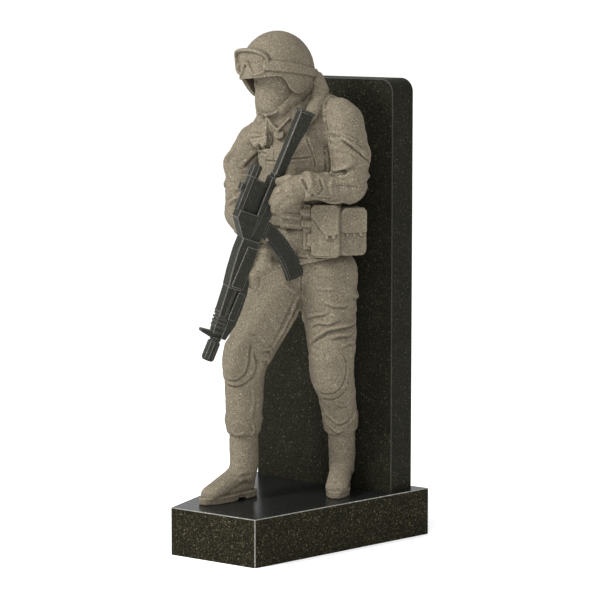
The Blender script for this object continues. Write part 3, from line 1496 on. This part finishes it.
        carver.folds(upper_right, [
            Fold([(0.08, -40), (0.22, -10), (0.46, 20)], 9, 9.9, 1),
            Fold([(0.30, -60), (0.44, -30), (0.66, 0)], 9, 9.9, 1),
            Fold([(0.60, -60), (0.74, -20), (0.86, 30)], 10.5, 9.9, 1),
            Fold([(0.20, 60), (0.46, 80), (0.70, 70)], 10.5, 10.8),
            Fold([(0.76, 70), (0.88, 110), (0.80, 150)], 10.5, 9.9),
            Fold([(0.30, 140), (0.48, 180), (0.36, 215)], 12, 11.7)])
        carver.folds(fore_right, [
            Fold([(0.05, -60), (0.14, -10), (0.08, 50)], 10.5, 9, 1),
            Fold([(0.30, -70), (0.44, -20), (0.36, 40)], 9, 9, 1),
            Fold([(0.62, -60), (0.74, 0), (0.66, 50)], 9, 9, 1),
            Fold([(0.86, -70), (0.94, 0), (0.88, 60)], 9, 8.1, 1),
            Fold([(0.2, 120), (0.35, 170), (0.25, 220)], 10.5, 9),
            Fold([(0.6, 130), (0.7, 180), (0.6, 220)], 9, 9)])
        kit = Clay()
        self.gloves(kit)
        mesh = kit.skin(self.arms_cell, 2, body)
        fine = Carver(mesh)
        fine.seam(self.armhole, 7, 5)
        # set-in sleeve: a crease from the armhole round to the back of the elbow
        fine.seam([(268, -70, 1380), (306, -62, 1378), (336, -38, 1350), (352, 0, 1310),
                   (350, 40, 1280)], 3.5, 6, 2)
        fine.seam([(256, -60, 1246), (290, -66, 1236), (320, -50, 1246)], 7, 6, 2)
        # creases that run back from the cuff
        fine.seam([(224, -176, 1222), (240, -168, 1190), (252, -150, 1158), (286, -96, 1134)],
                  5, 5, 2.5)
        fine.seam([(262, -128, 1214), (272, -124, 1190), (262, -140, 1166)], 4, 4.5, 2)
        fine.roughen(0.45, 9.0)
        self.finish("soldier_arms", mesh)

    @staticmethod
    def gloves(kit: Clay) -> None:
        """Add both gloves with their fingers.

        Args:
            kit: clay to add to.
        """
        # hand under the stock: back of the hand, then fingers that curl inwards
        kit.pod((206, -144, 1194), (168, -172, 1184), (40, 48, 40), (44, 52, 42))
        kit.chain([(170, -166, 1204), (134, -200, 1176), (114, -212, 1140)], [30, 24, 18])
        kit.chain([(160, -180, 1176), (130, -206, 1140), (118, -206, 1110)], [34, 26, 17])
        kit.chain([(176, -176, 1158), (148, -196, 1128), (132, -198, 1104)], [28, 22, 15])
        kit.chain([(168, -186, 1224), (132, -204, 1214)], [18, 14])
        # fist round the grip
        kit.pod((62, -200, 950), (58, -212, 894), (24, 34, 28), (42, 38, 30))
        for i, (x, y, z) in enumerate(((40, -234, 948), (42, -236, 922), (46, -236, 898),
                                       (52, -232, 877))):
            kit.chain([(x + 34, y + 20, z + 6), (x, y, z)], [17 - i, 15 - i])
        kit.chain([(84, -206, 900), (62, -232, 870)], [20, 13])
        kit.chain([(60, -190, 1000), (36, -214, 1004)], [24, 15])
        kit.chain([(60, -222, 900), (44, -238, 872), (35, -224, 832)], [24, 24, 23])

    # ------------------------------------------------------------------------------ head
    def head(self) -> None:
        """Carve the helmet, the goggles, the mask and the hood round the face."""
        # mask, its chin, and the ear pad on the left
        kit = Clay()
        kit.pod((45, -118, 1486), (50, -100, 1590), (58, 64, 46), (84, 90, 70))
        kit.pod((32, -150, 1548), (30, -152, 1566), (34, 34, 30), (40, 34, 30))
        kit.pod((132, -6, 1600), (136, -20, 1616), (22, 28, 30), (22, 28, 26))
        # neck and the hood's inner edge, from the ear to the chin
        kit.chain([(120, -20, 1560), (112, -78, 1516), (88, -124, 1474)],
                  [(40, 44, 40), (30, 38, 34), (26, 30, 24)])
        kit.chain([(130, -78, 1542), (116, -121, 1508), (86, -153, 1464), (44, -162, 1451),
                   (10, -152, 1462)], [6, 5.5, 5, 5, 4])
        kit.chain([(-30, -110, 1560), (-22, -128, 1500), (0, -150, 1456)], [9, 8, 7])
        Helmet().build(kit)
        mesh = kit.skin(self.head_cell, 2)
        Carver(mesh).roughen(0.35, 9.0)
        self.finish("soldier_head", mesh)

    # ------------------------------------------------------------------------------ legs
    def legs(self) -> None:
        """Carve the trousers with knee pads, bloused over the boots."""
        # hips, right thigh and shin, left thigh and shin, then the bloused ends
        cloth = Clay()
        cloth.chain([(88, 58, 850), (84, 52, 962)], [(154, 114, 80), (150, 110, 60)])
        cloth.chain([(8, 50, 862), (-36, -36, 710), (-66, -120, 560)],
                    [(120, 116, 90), (106, 108, 80), (87, 95, 80)])
        cloth.chain([(-68, -124, 552), (-82, -128, 470), (-101, -110, 268)],
                    [84, (74, 80, 70), (66, 70, 40)])
        cloth.chain([(162, 66, 862), (178, 74, 560)], [(113, 115, 90), (87, 93, 80)])
        cloth.chain([(178, 74, 552), (172, 96, 460), (138, 190, 268)],
                    [84, (74, 78, 70), (64, 68, 40)])
        cloth.pod((-99, -112, 300), (-101, -108, 250), (70, 76, 30), (63, 68, 12))
        cloth.pod((142, 180, 300), (136, 194, 244), (68, 74, 30), (62, 67, 12))
        body = cloth.skin(self.rough_limb, 5)
        carver = Carver(body)
        right_thigh = Limb((10, 50, 862), (-66, -120, 560), radius=150, girth=100)
        left_thigh = Limb((162, 66, 862), (178, 74, 560), radius=140, girth=100)
        right_shin = Limb((-74, -126, 520), (-101, -110, 244), radius=110, girth=72)
        left_shin = Limb((176, 84, 510), (138, 190, 244), radius=110, girth=70)
        for limb, seed, shear in ((right_thigh, 21, 0.5), (left_thigh, 22, 0.4),
                                  (right_shin, 23, 0.5), (left_shin, 24, -0.5)):
            carver.wrinkles(limb, 1.8, 56, 130, shear, seed)
        carver.wrinkles(left_thigh, 2.0, 26, 90, 0.5, 41)
        carver.wrinkles(left_shin, 2.0, 28, 80, -0.6, 42)
        carver.wrinkles(right_thigh, 1.2, 30, 80, 0.6, 43)
        carver.folds(right_thigh, [
            Fold([(0.26, -38), (0.46, -44), (0.66, -50), (0.86, -52)], 10.5, 8.1, 1),
            Fold([(0.32, -60), (0.54, -64), (0.80, -68)], 10.5, 8.1, 1),
            Fold([(0.24, 4), (0.26, -16), (0.25, -30)], 5.2, 6.3),
            Fold([(0.96, -26), (0.90, -44), (0.92, -62)], 9, 7.2, 1),
            Fold([(1.04, -40), (1.00, -58), (1.04, -76)], 9, 7.2, 1),
            Fold([(0.30, 60), (0.34, 84), (0.30, 106)], 9, 9.9),
            Fold([(0.70, 70), (0.78, 100), (0.72, 130)], 10.5, 9.9),
            Fold([(0.18, 140), (0.26, 180), (0.16, 210)], 12, 11.7),
            Fold([(0.86, 140), (0.94, 180), (0.86, 220)], 12, 10.8),
            Fold([(0.98, 130), (1.06, 180), (1.00, 225)], 10.5, 9)])
        carver.folds(left_thigh, [
            Fold([(0.16, 26), (0.19, 8), (0.18, -12)], 5.2, 6.3),
            Fold([(0.34, 10), (0.40, -10), (0.41, -30), (0.40, -50)], 7.5, 7.2, 1),
            Fold([(0.54, 62), (0.51, 40), (0.50, 20), (0.46, 0)], 7.5, 7.2, 1),
            Fold([(0.64, 50), (0.60, 26), (0.62, 4), (0.56, -20)], 7.5, 7.2, 1),
            Fold([(0.86, 62), (0.78, 34), (0.69, 8), (0.67, -20), (0.66, -50), (0.63, -80)],
                 13.5, 8.1, 1),
            Fold([(0.80, 6), (0.77, -20), (0.78, -44), (0.72, -76)], 10.5, 8.1, 1),
            Fold([(0.92, -20), (0.88, -46), (0.90, -76)], 9, 8.1, 1),
            Fold([(0.30, -60), (0.34, -84), (0.28, -106)], 9, 9),
            Fold([(0.24, 150), (0.32, 190), (0.24, 220)], 12, 11.7),
            Fold([(0.60, 130), (0.70, 170), (0.62, 220)], 12, 10.8),
            Fold([(0.88, 120), (0.98, 180), (0.90, 230)], 12, 9.9)])
        carver.folds(right_shin, [
            Fold([(0.30, -20), (0.50, -30), (0.78, -24)], 5.2, 7.2),
            Fold([(0.80, -30), (0.92, -40), (1.02, -34)], 6, 7.2),
            Fold([(0.90, 50), (0.98, 20), (0.93, -10)], 6, 7.2),
            Fold([(0.40, 110), (0.60, 140), (0.50, 180)], 9, 9.9),
            Fold([(0.80, 130), (0.92, 180), (0.84, 230)], 9, 9)])
        carver.folds(left_shin, [
            Fold([(0.50, 58), (0.66, 38), (0.78, 8), (0.76, -24), (0.64, -52)], 9, 8.1, 1),
            Fold([(0.68, 66), (0.84, 44), (0.93, 14), (0.91, -16)], 8.2, 7.2, 1),
            Fold([(0.44, 10), (0.52, -16), (0.50, -44)], 6, 7.2),
            Fold([(0.86, -30), (0.80, -54), (0.70, -76)], 7.5, 7.2),
            Fold([(0.40, 120), (0.55, 160), (0.48, 210)], 9, 9),
            Fold([(0.80, 120), (0.92, 180), (0.84, 230)], 9, 9)])
        kit = Clay()
        # strap ends of both pads and the left thigh's pocket
        kit.box((7, 26), (246, 84, 470), (0.97, 0.1, 0), 14, 5, 3)
        kit.box((34, 48), (254, 92, 696), (0.98, 0.1, 0.02), 24, 1, 5)
        kit.box((7, 22), (-150, -96, 500), (-0.97, 0.1, 0), 14, 3, 3)
        mesh = kit.skin(self.legs_cell, 2, body)
        fine = Carver(mesh)
        # knee pads: base cloth, then the smooth cup, both crisp below and fading above
        rim, sill, rise = 10, 18, 6
        for centre, look, half in (((-74, -186, 560), (-0.08, -0.99, -0.12), (72, 118)),
                                   ((196, 4, 500), (0.42, -0.90, -0.06), (82, 120))):
            fine.panel(centre, look, half, 8.0, 2.4, 3.5, 0.25, groove=4.0)
            cup = (half[0] - rim, half[1] - sill)
            lifted = (centre[0], centre[1], centre[2] + rise)
            fine.panel(lifted, look, cup, 7.0, 2.2, 3.5, 0.6, groove=3.5)
        # fly and the mouth of the left pocket
        fine.seam([(130, -60, 862), (120, -44, 830), (106, -30, 790)], 4, 3, 1)
        fine.seam([(164, -60, 858), (186, -46, 884), (214, -44, 900)], 3, 2.4, 1.2)
        fine.roughen(0.45, 9.0)
        self.finish("soldier_legs", mesh)

    # ----------------------------------------------------------------------------- boots
    def boots(self) -> None:
        """Carve both boots with their soles."""
        kit = Clay()
        for boot in self.boot_pair:
            boot.build(kit)
        mesh = kit.skin(self.boot_cell, 2)
        fine = Carver(mesh)
        for boot in self.boot_pair:
            boot.dress(fine)
        fine.roughen(0.4, 9.0)
        self.finish("soldier_boots", mesh)

    def build(self) -> None:
        """Carve every piece."""
        self.trunk()
        self.arms()
        self.pouches()
        self.head()
        self.legs()
        self.boots()


# ----------------------------------------------------------------------------- studio
@dataclass
class Studio:
    """Pale floor, soft lights and the camera.

    Attributes:
        eye: camera place in metres.
        azimuth: degrees round from the front.
        pitch: degrees it looks down.
        lens: focal length in millimetres.
        film: width of the film in millimetres.
        far: furthest thing the camera sees.
        sky: brightness of the white surroundings.
        wide: half the floor's width.
        floor_grey: the floor's grey, linear.
        floor_glow: light that the floor gives, so that it stays white in shade.
        aim: height that the lamps point at.
    """

    eye: Vec3 = (5.8561, -7.9973, 2.1838)
    azimuth: float = 35.8256
    pitch: float = 7.2303
    lens: float = 159.0
    film: float = 36.0
    far: float = 200.0
    sky: float = 1.05
    wide: float = 400.0
    floor_grey: float = 0.92
    floor_glow: float = 0.12
    aim: float = 1.0

    def camera(self) -> None:
        """Set the camera."""
        data = bpy.data.cameras.new("camera")
        data.lens = self.lens
        data.sensor_width = self.film
        data.clip_end = self.far
        cam = bpy.data.objects.new("camera", data)
        cam.location = self.eye
        cam.rotation_euler = (math.radians(90.0 - self.pitch), 0.0, math.radians(self.azimuth))
        bpy.context.scene.collection.objects.link(cam)
        bpy.context.scene.camera = cam

    def lamp(self, name: str, place: Vec3, size: float, power: float) -> None:
        """Add a soft square light that looks at the figure.

        Args:
            name: its name.
            place: where it stands.
            size: side in metres.
            power: watts.
        """
        data = bpy.data.lights.new(name, "AREA")
        data.size = size
        data.energy = power
        lamp = bpy.data.objects.new(name, data)
        lamp.location = place
        lamp.visible_camera = False
        beam = Vector((0.0, 0.0, self.aim)) - Vector(place)
        lamp.rotation_euler = beam.to_track_quat("-Z", "Y").to_euler()
        bpy.context.scene.collection.objects.link(lamp)

    def floor(self) -> None:
        """Lay the floor."""
        bm = bmesh.new()
        bmesh.ops.create_grid(bm, x_segments=1, y_segments=1, size=self.wide)
        mesh = bpy.data.meshes.new("floor")
        bm.to_mesh(mesh)
        bm.free()
        # matt white paper that lights itself a little
        mat = bpy.data.materials.new("pale floor")
        mat.use_nodes = True
        tree = mat.node_tree
        tree.nodes.clear()
        shader = add_node(tree, "ShaderNodeBsdfPrincipled",
                          {"Base Color": (self.floor_grey,) * 3 + (1.0,), "Roughness": 0.95,
                           "Emission Color": (1.0, 1.0, 1.0, 1.0),
                           "Emission Strength": self.floor_glow})
        add_node(tree, "ShaderNodeOutputMaterial", {0: shader.outputs[0]})
        floor = finish_mesh("floor", mesh, [mat], smooth=False)

    def surroundings(self) -> None:
        """Hang white all round."""
        world = bpy.data.worlds.new("studio")
        world.use_nodes = True
        back = world.node_tree.nodes["Background"]
        back.inputs["Color"].default_value = (1.0, 1.0, 1.0, 1.0)
        back.inputs["Strength"].default_value = self.sky
        bpy.context.scene.world = world

    def build(self) -> None:
        """Set up the floor, the white, both lamps and the camera."""
        self.floor()
        self.surroundings()
        self.lamp("key", (-2.0, -4.6, 4.8), 1.5, 540.0)
        self.lamp("fill", (2.6, -3.6, 3.4), 2.0, 110.0)
        self.camera()
        bpy.context.scene.view_settings.view_transform = "Standard"


def main() -> None:
    """Build the memorial."""
    BaseStones().build()
    Rifle().build()
    Soldier().build()
    Studio().build()


if __name__ == "__main__":
    main()
